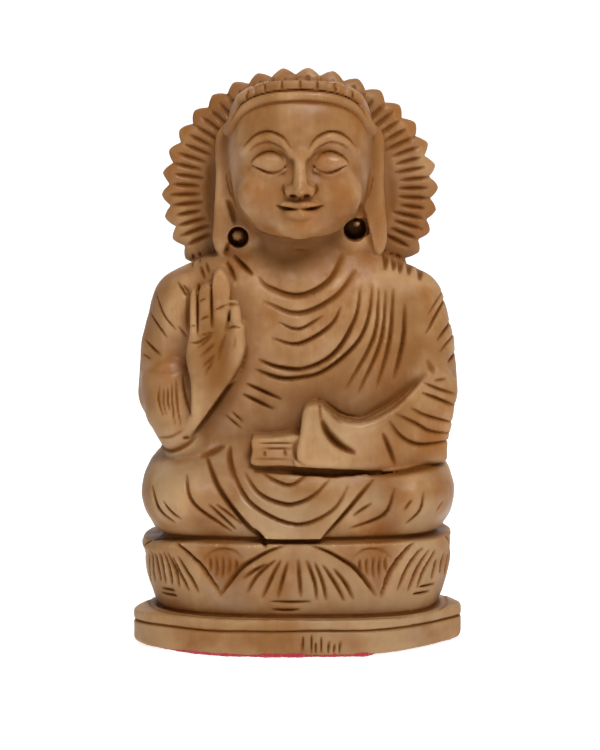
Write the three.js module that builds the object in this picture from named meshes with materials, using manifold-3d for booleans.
// A small wooden Buddha, carved by hand from one block: a seated figure in a folded robe, its right hand
// raised and its left hand in its lap, on a lotus throne and an oval plinth, in front of a rayed halo.
// A thin red felt pad is glued under the plinth. Units are millimetres, +Z is up and the figure faces -Y.
// The origin is the middle of the underside.

import * as THREE from "three";
import { mergeVertices } from "three/addons/utils/BufferGeometryUtils.js";
import Module from "manifold-3d";

const wasm = await Module();
wasm.setup();

// Driving sizes of the block and of what is cut from it, from the bottom up.
const FELT = { thickness: 0.8, inset: 0.5 };
const PLINTH = { halfWidth: 36, halfDepth: 20, endHalfDepth: 8, top: 8, scoreZ: 5.6 };
const THRONE = { halfWidth: 34.2, halfDepth: 18.8, foot: 0.9, top: 24.5, petals: 6 };
const SHOULDER_Z = 74.5;
const HEAD = { x: 0.4, chin: 90, crown: 122.6 };
const HALO = { x: 0.4, z: 98.8, halfWidth: 30.2, halfHeight: 27.4, front: 6.5, back: 13.5, teeth: 34 };

// Corners closer than this are one corner, so that no sliver is left where two forms meet.
const WELD = 0.02;

const v3 = (x, y, z) => new THREE.Vector3(x, y, z);
const mix = THREE.MathUtils.lerp;
const clamp = THREE.MathUtils.clamp;

// Solids and booleans

function solidOf(geometry) {
  const bare = new THREE.BufferGeometry().setAttribute("position", geometry.getAttribute("position"));
  bare.setIndex(geometry.index);
  const welded = mergeVertices(bare, 1e-4);
  const corners = welded.index.array;
  const triangles = [];
  for (let i = 0; i < corners.length; i += 3) {
    const [a, b, c] = [corners[i], corners[i + 1], corners[i + 2]];
    if (a !== b && b !== c && c !== a) triangles.push(a, b, c);
  }
  const mesh = new wasm.Mesh({
    numProp: 3,
    vertProperties: welded.attributes.position.array,
    triVerts: Uint32Array.from(triangles),
    tolerance: WELD,
  });
  return new wasm.Manifold(mesh);
}

function geometryOf(solid) {
  const mesh = solid.getMesh();
  const geometry = new THREE.BufferGeometry();
  geometry.setAttribute("position", new THREE.BufferAttribute(mesh.vertProperties, 3));
  geometry.setIndex(new THREE.BufferAttribute(mesh.triVerts, 1));
  return geometry;
}

const joined = (solids) => solids.reduce((whole, solid) => whole.add(solid));

// A profile of [radius, height] pairs turned about an axis, each vertex then put in its place by
// place(angle, radius, height). The profile starts and ends on the axis and runs upwards.
function turned(profile, sides, place) {
  const points = profile.map(([radius, height]) => new THREE.Vector2(radius, height));
  const geometry = new THREE.LatheGeometry(points, sides);
  const position = geometry.getAttribute("position");
  for (let i = 0; i < position.count; i++) {
    const [x, height, z] = [position.getX(i), position.getY(i), position.getZ(i)];
    const spot = place(Math.atan2(z, x), Math.hypot(x, z), height);
    position.setXYZ(i, spot.x, spot.y, spot.z);
  }
  return solidOf(geometry);
}

// An ellipsoid.
function ball([x, y, z], [rx, ry, rz], { sides = 14, rows = 8 } = {}) {
  const geometry = new THREE.SphereGeometry(1, sides, rows);
  geometry.rotateX(Math.PI / 2);
  geometry.scale(rx, ry, rz);
  geometry.translate(x, y, z);
  return solidOf(geometry);
}

// A round-ended limb along a smooth curve through its joints, each joint [x, y, z, radius].
// deep stretches or squeezes the section from front to back, and caps is how many rows round each end.
function limb(joints, { sides = 7, steps = 2, deep = 1, caps = 2 } = {}) {
  const path = new THREE.CatmullRomCurve3(joints.map(([x, y, z]) => v3(x, y, z)));
  const length = path.getLength();
  const last = joints.length - 1;
  const radiusAt = (t) => {
    const k = Math.min(Math.floor(t * last), last - 1);
    return mix(joints[k][3], joints[k + 1][3], t * last - k);
  };
  const capAngle = (i) => (i / caps) * (Math.PI / 2);
  const profile = [];
  for (let i = 0; i <= caps; i++) {
    profile.push([radiusAt(0) * Math.sin(capAngle(i)), -radiusAt(0) * Math.cos(capAngle(i))]);
  }
  for (let i = 1; i < steps; i++) profile.push([radiusAt(i / steps), (length * i) / steps]);
  for (let i = caps; i >= 0; i--) {
    profile.push([radiusAt(1) * Math.sin(capAngle(i)), length + radiusAt(1) * Math.cos(capAngle(i))]);
  }
  return turned(profile, sides, (angle, radius, along) => {
    const t = clamp(along / length, 0, 1);
    const ahead = path.getTangentAt(t);
    const side = v3(0, -1, 0).cross(ahead).normalize();
    const face = ahead.clone().cross(side);
    return path
      .getPointAt(t)
      .addScaledVector(ahead, along - t * length)
      .addScaledVector(side, radius * Math.cos(angle))
      .addScaledVector(face, -radius * Math.sin(angle) * deep);
  });
}

// A body of rounded oval sections stacked from the bottom up: [z, half width, front y, back y].
function lofted(sections, { sides = 20, x = 0, squareness = 2.8 } = {}) {
  const profile = [[0, 0], ...sections.map((_, row) => [1, row]), [0, sections.length - 1]];
  const rounded = (c) => Math.sign(c) * Math.abs(c) ** (2 / squareness);
  return turned(profile, sides, (angle, radius, row) => {
    const [z, halfWidth, front, back] = sections[Math.round(row)];
    const [middle, halfDepth] = [(front + back) / 2, (back - front) / 2];
    const across = radius * halfWidth * rounded(Math.cos(angle));
    return v3(x + across, middle - radius * halfDepth * rounded(Math.sin(angle)), z);
  });
}

// The wood that one stroke of a V gouge takes out. spots lie on the surface and out points away from it.
// The tool enters and leaves at the surface, and its cut is widest and deepest in the middle.
function gouged(spots, out, width, depth, steps = spots.length) {
  const path = new THREE.CatmullRomCurve3(spots);
  const lift = 0.4;
  const profile = [];
  for (let i = 0; i <= steps; i++) profile.push([i % steps ? 1 : 0, i]);
  return turned(profile, 4, (angle, radius, station) => {
    const t = station / steps;
    const bite = radius * Math.sin(Math.PI * t) ** 0.6;
    const side = path.getTangent(t).cross(out).normalize();
    const outwards = Math.round(Math.sin(angle));
    const reach = outwards > 0 ? lift : outwards * depth;
    return path
      .getPoint(t)
      .addScaledVector(side, bite * Math.round(Math.cos(angle)) * (width / 2))
      .addScaledVector(out, bite * (reach + (outwards ? 0 : lift / 3)));
  });
}

// Plinth and felt

// The oval outline with cut ends that the block was sawn to, drawn inwards by inset.
function plinthOutline(inset) {
  const { halfWidth, halfDepth, endHalfDepth } = PLINTH;
  const rise = halfDepth - endHalfDepth;
  const radius = (halfWidth ** 2 + rise ** 2) / (2 * rise);
  const sweep = Math.asin((halfWidth - inset) / (radius - inset));
  const outline = new THREE.Shape();
  outline.absarc(0, radius - halfDepth, radius - inset, -Math.PI / 2 - sweep, -Math.PI / 2 + sweep, false);
  outline.absarc(0, halfDepth - radius, radius - inset, Math.PI / 2 - sweep, Math.PI / 2 + sweep, false);
  return outline;
}

function slab(outline, bottom, top, bevel) {
  const geometry = new THREE.ExtrudeGeometry(outline, {
    depth: top - bottom - 2 * bevel,
    bevelEnabled: bevel > 0,
    bevelThickness: bevel,
    bevelSize: bevel,
    bevelOffset: -bevel,
    bevelSegments: 1,
    curveSegments: 8,
  });
  geometry.translate(0, 0, bottom + bevel);
  return solidOf(geometry);
}

// A form cut to an outline of [x, z] points and then eased along its front edge, as low relief is carved.
// bow(x) gives how far its face falls back at x.
function relief(outline, front, back, ease, bow = () => 0) {
  const shape = new THREE.Shape(outline.map(([x, z]) => new THREE.Vector2(x, z)));
  const geometry = new THREE.ExtrudeGeometry(shape, {
    depth: back - front - 2 * ease,
    bevelThickness: ease,
    bevelSize: ease,
    bevelOffset: -ease,
    bevelSegments: 1,
  });
  geometry.rotateX(Math.PI / 2);
  geometry.translate(0, back - ease, 0);
  const position = geometry.getAttribute("position");
  for (let i = 0; i < position.count; i++) position.setY(i, position.getY(i) + bow(position.getX(i)));
  return solidOf(geometry);
}

// Two bevelled storeys, whose bevels leave the scored line that runs round the edge.
function plinth() {
  const lower = slab(plinthOutline(0), FELT.thickness, PLINTH.scoreZ, 0.3);
  const core = slab(plinthOutline(2), FELT.thickness + 1, PLINTH.top - 1, 0);
  const upper = slab(plinthOutline(0), PLINTH.scoreZ, PLINTH.top, 0.6);
  return joined([lower, core, upper]);
}

// Lotus throne

// A point on the throne's bowl. turn is 0 at the front and runs to +X, and rise runs from the foot, 0, to
// the rim, 1.
function throneSpot(turn, rise) {
  const { halfWidth, halfDepth, foot, top } = THRONE;
  const swell = foot + (1 - foot) * Math.sin(Math.min(rise * 1.15, 1) * (Math.PI / 2));
  const rounded = (c) => Math.sign(c) * Math.abs(c) ** (2 / 2.5);
  return v3(
    halfWidth * swell * rounded(Math.sin(turn)),
    -halfDepth * swell * rounded(Math.cos(turn)),
    mix(PLINTH.top, top, rise),
  );
}

function throneBowl() {
  const rises = [0, 0.3, 0.6, 0.85, 1];
  const profile = [[0, 0], ...rises.map((rise) => [1, rise]), [0, 1]];
  return turned(profile, 48, (angle, radius, rise) => {
    const spot = throneSpot(Math.PI / 2 - angle, rise);
    return v3(spot.x * radius, spot.y * radius, rise ? spot.z : PLINTH.top - 1);
  });
}

// A stroke on the bowl between points of [turn in petal half widths, rise].
function bowlStroke(centre, line, width, depth, steps = line.length) {
  const halfPetal = Math.PI / THRONE.petals;
  const spots = line.map(([turn, rise]) => throneSpot(centre + turn * halfPetal, rise));
  const middle = spots[1];
  return gouged(spots, v3(middle.x, middle.y * 2, 0).normalize(), width, depth, steps);
}

// Each petal is an arch cut by two strokes, with a fan of ribs spreading down from its tip. A small petal
// shows in every gap between two arches. The petals at the back have no ribs.
function petalCuts() {
  const cuts = [];
  const ribs = 7;
  const smallRibs = 3;
  for (let petal = 0; petal < THRONE.petals; petal++) {
    const centre = (petal / THRONE.petals) * 2 * Math.PI;
    const behind = Math.cos(centre) < -0.6;
    for (const side of [-1, 1]) {
      const arch = [[side * 0.98, 0.28], [side * 0.72, 0.66], [side * 0.26, 0.97]];
      cuts.push(bowlStroke(centre, arch, 1.9, 1.3));
    }
    for (let rib = 0; rib < (behind ? 0 : ribs); rib++) {
      const across = mix(-1, 1, rib / (ribs - 1));
      const line = [[across * 0.14, 0.84], [across * 0.4, 0.56], [across * 0.6, 0.3]];
      cuts.push(bowlStroke(centre, line, 1.1, 0.5));
    }
    for (let rib = 0; rib < smallRibs; rib++) {
      const across = 1 + mix(-0.18, 0.18, rib / (smallRibs - 1));
      cuts.push(bowlStroke(centre, [[across, 0.9], [across, 0.77], [across, 0.64]], 1, 0.45, 2));
    }
  }
  return cuts;
}

// The figure

// The crossed legs under the robe, with the end of the cloth hanging over the rim of the throne.
function lap() {
  const legs = lofted(
    [
      [THRONE.top - 1.5, 30, -14.5, 15.5],
      [26, 32, -16.4, 16.2],
      [29.5, 33.8, -17.6, 16.5],
      [34, 34.2, -17.8, 16.5],
      [38, 33.4, -16.6, 16.2],
      [41.5, 31, -13.6, 15.8],
      [44.5, 27, -10, 15.4],
      [47, 22, -7, 15],
    ],
    { sides: 24, squareness: 2.5 },
  );
  const cloth = lofted(
    [
      [25.7, 6.4, -19.2, -12],
      [30, 9.4, -19.4, -12],
      [36, 13.6, -18.6, -12],
      [41, 16.6, -15, -8],
    ],
    { sides: 12, x: -1.2, squareness: 4 },
  );
  return joined([legs, cloth]);
}

function torso() {
  const trunk = lofted([
    [41, 28, -8.5, 15],
    [50, 27, -9.2, 15.2],
    [60, 26.5, -10.3, 15.4],
    [68, 27, -11, 15.2],
    [SHOULDER_Z, 28.5, -10.5, 14.8],
    [79, 26.5, -9, 14.2],
    [82.5, 19, -7, 13.8],
    [85.5, 11.4, -6, 13],
    [94, 10.6, -6, 12],
  ]);
  const nape = ball([HEAD.x, 4.5, 91], [17.5, 5.5, 9], { sides: 14, rows: 6 });
  return joined([trunk, nape]);
}

function upperArm(side) {
  return limb(
    [
      [side * 24, 1, SHOULDER_Z, 8.3],
      [side * 26.6, 0, 64, 8],
      [side * 27, -1, 55, 8],
      [side * 24.6, -2, 44, 7.4],
    ],
    { sides: 12, steps: 5 },
  );
}

// The raised right arm stands out from the robe as one flat form: forearm, palm and fingers. The sleeve
// hangs beside it to the knee, and the forefinger is curled down to the thumb.
function raisedArm() {
  const outline = [
    [-26.8, 45.6], [-23.6, 46.4], [-20.2, 51], [-16.7, 56.5], [-13.4, 61], [-11.8, 63.4],
    [-11.5, 67], [-11.9, 71], [-12.2, 75.8], [-14.2, 76.2], [-14.4, 79], [-15, 81.8], [-16.6, 83.4],
    [-18, 82], [-18.6, 80.1], [-20.2, 80.5], [-21.3, 78.5], [-22.6, 78.6], [-23.4, 77.2],
    [-23.5, 69], [-24.2, 62], [-26.2, 54],
  ];
  const front = -14.8;
  const armAndHand = relief(outline, front, -6, 0.7, (x) => 0.05 * (x + 17) ** 2);
  const palm = ball([-19.4, front + 1, 65.2], [3.6, 1.9, 4.6], { sides: 10, rows: 6 });
  const thumb = limb([[-13.2, front + 0.9, 63.6, 1.9], [-12.9, front + 0.7, 70.4, 1.4]], { steps: 1 });
  const forefinger = limb([[-14, front + 0.6, 76, 1.3], [-13.4, front + 0.4, 72.4, 1.3]], { steps: 1 });
  const sleeve = limb([[-27.5, -5, 60, 6], [-28.2, -5.4, 52, 6.6], [-27, -5, 45, 6]], { sides: 9, steps: 3 });
  return joined([armAndHand, palm, thumb, forefinger, sleeve]);
}

// The left forearm across the lap, flat underneath, its hand open. The thumb stands up and the fingers lie
// in one row, cut back behind it.
function lapArm() {
  const outline = [
    [-0.6, 41], [7, 40.6], [16, 39.6], [25, 40.4], [33.6, 42.6], [34.8, 50], [34.6, 57], [31.4, 60.6],
    [27.8, 60], [23.1, 55.4], [18.3, 52.2], [14, 50.4], [10.7, 50.8], [7.6, 52.6], [5.4, 54.8], [2.8, 55.8],
    [0.9, 54.4], [0.5, 48], [-0.8, 44],
  ];
  const arm = relief(outline, -17.2, -6, 1.3, (x) => 0.011 * Math.max(x - 2, 0) ** 2);
  const fingers = relief([[-9.8, 41], [2, 41], [2, 48.6], [-9.8, 48.4]], -15.8, -6, 0.5);
  return joined([arm, fingers]);
}

// The hollow of the open palm beside the thumb.
function palmHollow() {
  const spots = [v3(5, -16.9, 53.6), v3(6, -16.9, 49.6), v3(8.8, -16.8, 46), v3(12.2, -16.4, 43.8)];
  return gouged(spots, v3(0, -1, 0), 2.6, 1.5, 4);
}

// Half width, front and back of the head at every height, from the chin up.
const HEAD_SECTIONS = [
  [HEAD.chin - 0.6, 4.5, -10.5, 4],
  [HEAD.chin + 0.6, 8.4, -13, 7],
  [HEAD.chin + 3.5, 12, -14.4, 9],
  [HEAD.chin + 8, 14.6, -15, 10.5],
  [HEAD.chin + 14, 15.6, -14.8, 11.5],
  [HEAD.chin + 21, 15.7, -14.6, 12],
  [HEAD.chin + 26.5, 15, -13.6, 11.8],
  [HEAD.crown - 2.4, 12.4, -11.6, 10.6],
  [HEAD.crown, 7.6, -8, 8],
];
const HEAD_SQUARENESS = 2.3;

// A point on the front of the head, dx to the side of its middle.
function skinSpot(dx, z, sunk = 0) {
  const k = clamp(HEAD_SECTIONS.findIndex((section) => section[0] > z), 1, HEAD_SECTIONS.length - 1);
  const [low, high] = [HEAD_SECTIONS[k - 1], HEAD_SECTIONS[k]];
  const share = (z - low[0]) / (high[0] - low[0]);
  const [halfWidth, front, back] = [1, 2, 3].map((i) => mix(low[i], high[i], share));
  const inside = Math.max(1 - Math.abs(dx / halfWidth) ** HEAD_SQUARENESS, 0.05);
  const depth = ((back - front) / 2) * inside ** (1 / HEAD_SQUARENESS);
  return v3(HEAD.x + dx, (front + back) / 2 - depth + sunk, z);
}

// The head, with a calm, full face set out by the usual thirds: hairline to brow, brow to nose, nose to chin.
function head() {
  const { x, chin, crown } = HEAD;
  const middle = mix(chin, crown, 0.5);
  const hairline = mix(chin, crown, 0.82);
  const third = (hairline - chin) / 3;
  const eyeWidth = 31 / 5;
  const on = (dx, z, sunk, radius) => [...skinSpot(dx, z, sunk).toArray(), radius];
  const mound = (dx, z, sunk, radii, sides = 8) => {
    return ball(skinSpot(dx, z, sunk).toArray(), radii, { sides, rows: 5 });
  };

  const skull = lofted(HEAD_SECTIONS, { sides: 24, x, squareness: HEAD_SQUARENESS });
  const bridge = on(0, middle + 1.6, 0.6, 0.9);
  const nose = limb([bridge, on(0, chin + third * 1.12, -0.7, 1.5)], { steps: 1, caps: 1 });
  const lip = (halfWidth, corners, centre, radius) => {
    const side = (s) => on(s * halfWidth, chin + third * corners, 0.4, 0.5);
    return limb([side(-1), on(0, chin + third * centre, -0.3, radius), side(1)], { sides: 6, caps: 1 });
  };
  const pairs = [-1, 1].flatMap((side) => [
    mound(side * 2, chin + third * 1.1, 0.2, [1.2, 1.2, 1]),
    mound(side * eyeWidth, middle - 1, 0.8, [eyeWidth * 0.52, 1.7, 1.9], 10),
    limb(
      [
        on(side * 2, middle + 2, 0.4, 0.5),
        on(side * eyeWidth, middle + 4.2, 0.3, 0.5),
        on(side * 10.6, middle + 1.6, 0.4, 0.4),
      ],
      { sides: 5, caps: 1 },
    ),
    limb(
      [
        [side * 16.6 + x, 1, 110, 1.7],
        [side * 16.9 + x, 0.5, 99, 1.6],
        [side * 16.3 + x, 0, 87.6, 2.3],
      ],
      { deep: 2 },
    ),
  ]);
  const bandEnd = (side) => [x + side * 15.2, -3.5, hairline - 5, 1.2];
  const band = limb(
    [
      bandEnd(-1),
      on(-9, hairline + 0.6, 0.4, 1.2),
      on(0, hairline + 1.6, 0.4, 1.2),
      on(9, hairline + 0.6, 0.4, 1.2),
      bandEnd(1),
    ],
    { sides: 6, steps: 8, caps: 1 },
  );
  const lips = [lip(4.2, 0.72, 0.74, 0.9), lip(3, 0.55, 0.5, 1)];
  return joined([skull, nose, ...lips, ...pairs, band]);
}

// The row of curls over the brow band, parted by upright cuts.
function curlCuts() {
  const cuts = [];
  const curls = 10;
  const reach = 10.5;
  for (let k = 0; k <= curls; k++) {
    const dx = mix(-reach, reach, k / curls);
    const low = HEAD.crown - 3.8 - 0.008 * dx ** 2;
    const spots = [0, 0.5, 1].map((share) => skinSpot(dx * (1 - 0.1 * share), low + 3.2 * share, -0.1));
    cuts.push(gouged(spots, v3(0, -1, 0.8).normalize(), 0.9, 0.7, 2));
  }
  return cuts;
}

// The blind holes drilled beside the neck, which part the ear lobes from it.
function earHoles() {
  const drill = 2.4;
  const profile = [[0, 0], [drill, 0], [drill, 12], [0, 13.2]];
  return joined(
    [[-12.1, 87.6], [14, 89.4]].map(([x, z]) => {
      return turned(profile, 10, (angle, radius, deep) => {
        return v3(x + radius * Math.cos(angle), -11 + deep, z + radius * Math.sin(angle));
      });
    }),
  );
}

// The halo: a thick oval disc with a toothed rim and a ray cut to every tooth and every notch.
function halo() {
  const { x, z, halfWidth, halfHeight, front, back, teeth } = HALO;
  const notch = 1.5;
  const rayDepth = 0.7;
  const rimShare = 0.91;
  const perTooth = 4;
  // [share of the radius, depth, how much of the tooth and of the ray it takes], from the front to the back
  const rings = [
    [0, front, 0, 0],
    [0.66, front, 0, 0.5],
    [rimShare, front + 0.2, 0.3, 1],
    [1, (front + back) / 2, 1, 0],
    [0.98, back, 0.7, 0],
    [0, back, 0, 0],
  ];
  const profile = rings.map(([share], k) => [share, k]);
  return turned(profile, teeth * perTooth, (angle, share, row) => {
    const [, depth, tooth, ray] = rings[Math.round(row)];
    const phase = angle * teeth;
    const cut = tooth * notch * (0.5 - 0.5 * Math.cos(phase));
    const groove = ray * rayDepth * (0.5 + 0.5 * Math.cos(2 * phase));
    return v3(
      x + (share * halfWidth - (share ? cut : 0)) * Math.cos(angle),
      depth + groove,
      z + (share * halfHeight - (share ? cut : 0)) * Math.sin(angle),
    );
  });
}

// Folds of the robe

// Families of strokes. Each runs from the first stroke's [x, z] points to the last one's, as seen from the
// front. The few at the back are cut from behind.
const FOLDS = [
  {
    name: "collar",
    first: [[-13, 85], [-7, 79.4], [0, 77.3], [6.4, 80.2], [9.9, 86]],
    width: 1.6,
    depth: 1,
  },
  {
    name: "upper swags",
    count: 2,
    first: [[-7.5, 76], [0.2, 73.6], [8, 77], [12.5, 82]],
    last: [[-4.6, 71.4], [0.2, 70], [3, 70.9], [5.6, 72.6]],
  },
  { name: "middle swag", first: [[-5.6, 67.9], [0.1, 66.9], [6.8, 70.7], [9.2, 74.8]] },
  {
    name: "lower swags",
    count: 2,
    first: [[-8, 62.9], [-0.3, 61.2], [7.3, 64.4], [13, 77]],
    last: [[-8.7, 60.8], [-3, 59.2], [8.5, 62.5], [15.6, 78]],
    width: 1.5,
    depth: 0.9,
  },
  {
    name: "shoulder folds",
    count: 4,
    first: [[17.4, 78.6], [16, 68], [10.7, 57.8]],
    last: [[23, 75.5], [22.6, 67], [20.9, 59]],
    width: 1.4,
    depth: 0.9,
  },
  { name: "waist folds", count: 2, first: [[-11.2, 57.9], [-3.5, 54.5]], last: [[-12, 55.6], [-5.2, 52.3]] },
  { name: "hip folds", count: 2, first: [[-14.3, 51.6], [-11.9, 49.4]], last: [[-15.8, 51], [-12.2, 48]] },
  { name: "right sleeve", count: 3, first: [[-30.8, 76.5], [-26, 68.7]], last: [[-33, 66.8], [-29.5, 63.6]] },
  { name: "sleeve pleats", count: 3, first: [[-30.2, 57], [-30.2, 51]], last: [[-26.4, 59], [-26.6, 51.4]] },
  { name: "left sleeve", count: 3, first: [[31, 77.3], [28.6, 72.6]], last: [[32.6, 69.8], [30.4, 66.4]] },
  { name: "elbow folds", count: 2, first: [[27.6, 58.3], [33, 55.4]], last: [[26.6, 55.8], [33, 52.8]] },
  {
    name: "cuff folds",
    count: 3,
    first: [[24.3, 53.1], [27.9, 51.1], [32, 49.4]],
    last: [[20, 50.3], [24, 46.2], [31.6, 45]],
  },
  { name: "cuff", first: [[18.6, 48], [21, 41.5]] },
  {
    name: "hem of the cloth",
    count: 3,
    first: [[-7, 39.2], [-2.7, 37.8], [1.6, 39.2]],
    last: [[-14, 42], [-10.5, 33.8], [-0.8, 29], [6.8, 31.6], [10.6, 37]],
    width: 1.4,
    depth: 0.8,
  },
  { name: "side of the cloth", first: [[-19.5, 43], [-15.5, 34.4], [-7.5, 25.4]], width: 1.6, depth: 1 },
  { name: "side of the cloth", first: [[16.3, 38.2], [10.1, 31], [5.3, 25.6]], width: 1.6, depth: 1 },
  {
    name: "right knee",
    count: 3,
    first: [[-31.2, 36.2], [-29.8, 31.5], [-26.4, 28.3]],
    last: [[-19.2, 33.2], [-16, 29.6], [-12.6, 27.4]],
  },
  {
    name: "left knee",
    count: 3,
    first: [[28.6, 34.5], [27, 31], [24, 28.4]],
    last: [[20, 36], [17.6, 30.4], [11.2, 27.4]],
  },
  {
    name: "between the raised fingers",
    count: 2,
    first: [[-21.3, 79], [-21.2, 69.4]],
    last: [[-18.4, 81], [-18.3, 70.7]],
    width: 0.9,
    depth: 1,
  },
  {
    name: "between the laid fingers",
    count: 2,
    first: [[-9.2, 46.3], [-0.4, 46.3]],
    last: [[-9.2, 43.9], [-0.4, 43.9]],
    width: 0.8,
  },
  {
    name: "back of the robe",
    count: 3,
    first: [[20, 71], [4, 62], [-17, 57]],
    last: [[21, 58], [6, 49], [-12, 45]],
    behind: true,
    width: 1.6,
    depth: 0.8,
  },
];

// The strokes laid on the body by looking at it along Y for the first surface behind every point.
function foldCuts(body) {
  const surface = new THREE.Mesh(geometryOf(body), new THREE.MeshBasicMaterial({ side: THREE.DoubleSide }));
  const ray = new THREE.Raycaster();
  const cuts = [];
  for (const { count = 1, first, last = first, width = 1.2, depth = 0.7, behind } of FOLDS) {
    const outward = v3(0, behind ? 1 : -1, 0);
    const spotAt = ([x, z]) => {
      ray.set(v3(x, 0, z).addScaledVector(outward, 60), outward.clone().negate());
      return ray.intersectObject(surface)[0].point;
    };
    const curve = (line) => new THREE.CatmullRomCurve3(line.map(([x, z]) => v3(x, 0, z)));
    const [from, to] = [curve(first), curve(last)];
    const steps = Math.max(first.length, last.length, 3);
    for (let k = 0; k < count; k++) {
      const share = count > 1 ? k / (count - 1) : 0;
      const spots = [];
      for (let i = 0; i <= steps; i++) {
        const spot = from.getPoint(i / steps).lerp(to.getPoint(i / steps), share);
        spots.push(spotAt([spot.x, spot.z]));
      }
      cuts.push(gouged(spots, outward, width, depth, steps));
    }
  }
  return cuts;
}

function figure() {
  const body = [lap(), torso(), upperArm(-1), upperArm(1), raisedArm(), lapArm(), head(), halo()];
  const roughed = joined([plinth(), throneBowl(), ...body]);
  const cuts = [palmHollow(), earHoles(), ...curlCuts(), ...petalCuts(), ...foldCuts(roughed)];
  return roughed.subtract(joined(cuts));
}

const wood = new THREE.MeshStandardMaterial({ color: 0xb98a5a, roughness: 0.45, metalness: 0 });
const redFelt = new THREE.MeshStandardMaterial({ color: 0xb3122e, roughness: 0.95, metalness: 0 });

const carving = new THREE.Mesh(geometryOf(figure()), wood);
carving.name = "carving";

const feltPad = new THREE.Mesh(geometryOf(slab(plinthOutline(FELT.inset), 0, FELT.thickness, 0)), redFelt);
feltPad.name = "felt_pad";

const statue = new THREE.Group();
statue.add(carving, feltPad);
export default statue;
